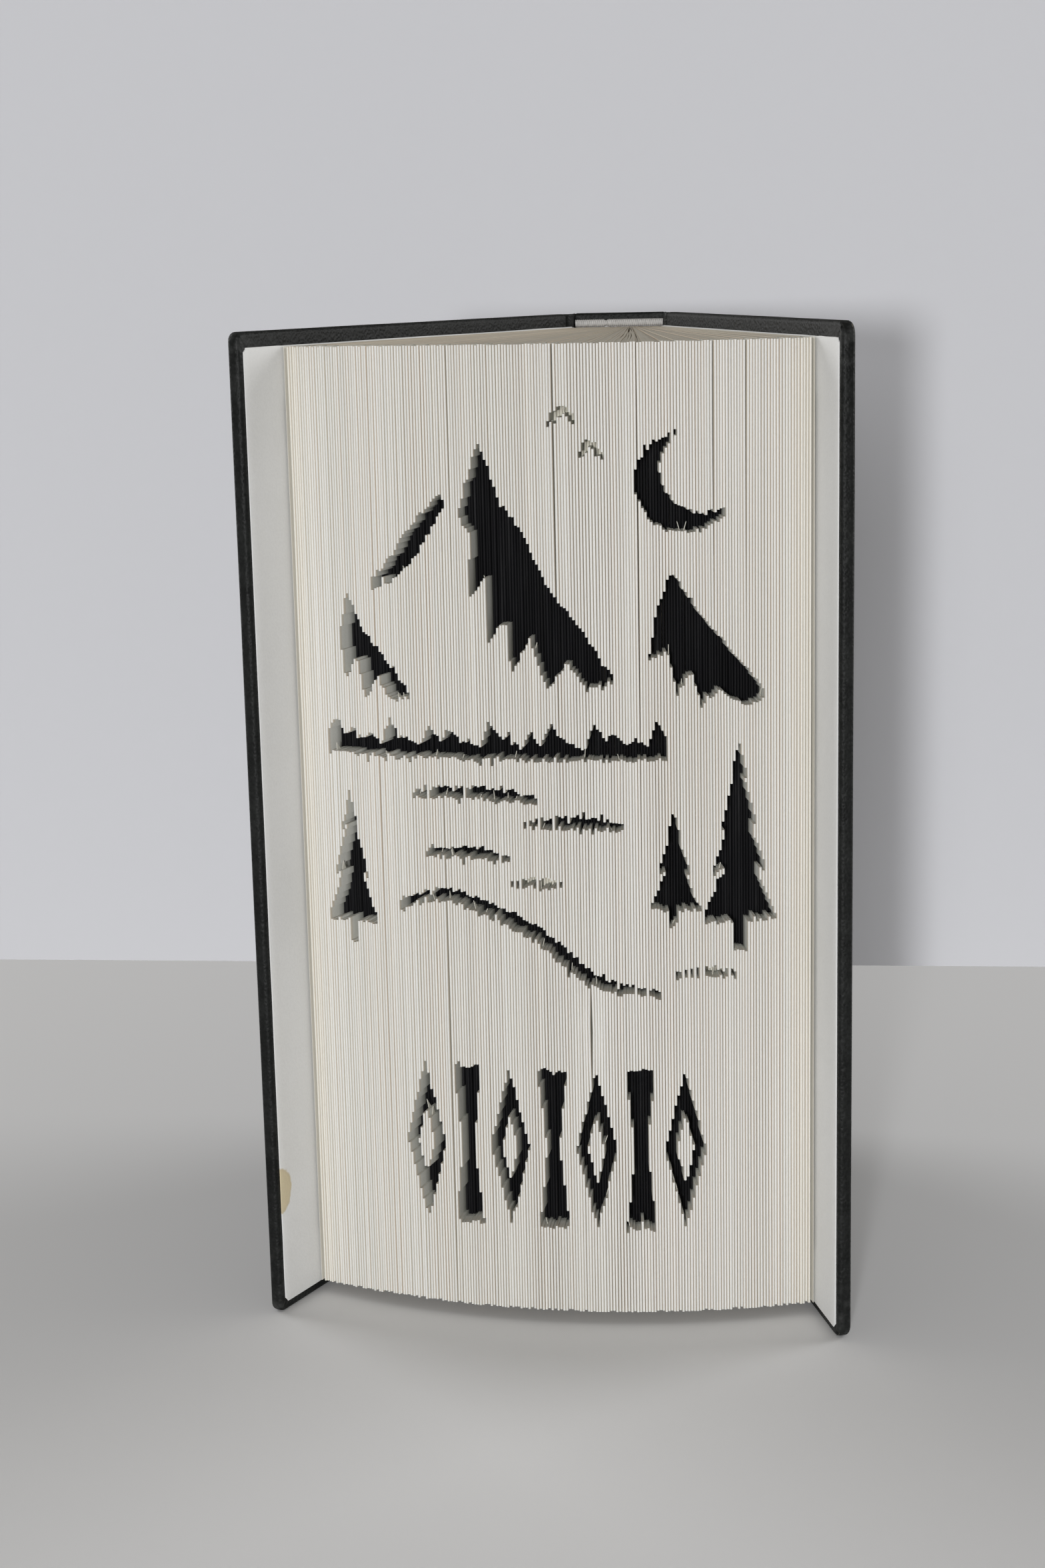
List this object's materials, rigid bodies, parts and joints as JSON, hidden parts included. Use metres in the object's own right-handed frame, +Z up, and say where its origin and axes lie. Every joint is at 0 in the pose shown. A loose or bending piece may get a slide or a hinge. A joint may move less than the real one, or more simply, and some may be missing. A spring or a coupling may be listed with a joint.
{
  "type": "hardcover book with folded and cut page art",
  "caption": "Upright hardcover book, covers ajar and pages fanned, with a landscape cut into the fore edge.",
  "frame": {"origin": "middle of the footprint, on the surface that the book stands on", "axes": "+Z up along the spine, fore edge towards -Y, spine towards +Y, back cover towards +X"},
  "size_m": [0.1292, 0.1398, 0.216],
  "materials": {
    "cloth": "dark grained book cloth",
    "board": "grey board",
    "paper": "aged ivory book paper",
    "endpaper": "smooth pale grey paper",
    "ink": "matt black ink on paper",
    "band": "pale whipped band",
    "mull": "glued open cloth",
    "liner": "brown kraft paper"
  },
  "bodies": {
    "block": {"page_block": "paper", "black_moon": "ink", "black_high_peak": "ink", "black_high_slope": "ink", "black_low_peak": "ink", "black_west_peak": "ink", "black_far_wood": "ink", "black_east_fir": "ink", "black_small_fir": "ink", "black_west_fir": "ink", "black_ripple_1": "ink", "black_ripple_2": "ink", "black_ripple_3": "ink", "black_shore": "ink", "black_border_1": "ink", "black_border_2": "ink", "black_border_3": "ink", "black_border_4": "ink", "black_border_5": "ink", "black_border_6": "ink", "black_border_7": "ink", "spine_mull": "mull", "spine_liner": "liner", "headband": "band", "tailband": "band", "spine_inlay": "board", "spine_cloth": "cloth", "front_flyleaf": "endpaper", "back_flyleaf": "endpaper"},
    "front_cover": {"front_board": "board", "front_cover_cloth": "cloth", "front_pastedown": "endpaper", "front_mull_flap": "mull"},
    "back_cover": {"back_board": "board", "back_cover_cloth": "cloth", "back_pastedown": "endpaper", "back_mull_flap": "mull"}
  },
  "joints": [
    {"name": "front_cover_hinge", "type": "hinge", "parent": "block", "child": "front_cover", "pos_m": [-0.01376, 0.06484, 0], "axis": [0, 0, -1], "range_deg": [0, 159.5]},
    {"name": "back_cover_hinge", "type": "hinge", "parent": "block", "child": "back_cover", "pos_m": [0.01376, 0.06484, 0], "axis": [0, 0, 1], "range_deg": [0, 159.5]}
  ]
}
